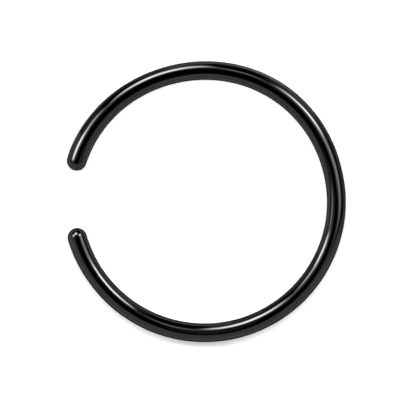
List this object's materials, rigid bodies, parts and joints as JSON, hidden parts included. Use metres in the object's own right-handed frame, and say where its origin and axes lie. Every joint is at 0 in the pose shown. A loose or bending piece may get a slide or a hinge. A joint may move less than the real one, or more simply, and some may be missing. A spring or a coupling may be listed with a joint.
{
  "type": "open nose hoop",
  "caption": "Plain open hoop of thin round wire with rounded ends and a gap between them, worn through a nostril piercing.",
  "frame": {"origin": "middle of the underside of the hoop's bounding box, on the surface it lies on", "axes": "+Z along the hoop's axis, up from the surface it lies on; the gap between the wire's ends faces -X; +Y along the hoop's longest side, from the lower arm to the upper arm"},
  "size_m": [0.009, 0.0092, 0.0006],
  "materials": {
    "black_steel": "polished gloss black coating on stainless steel wire, neutral in tone"
  },
  "bodies": {
    "root": {"hoop": "black_steel"}
  },
  "joints": []
}
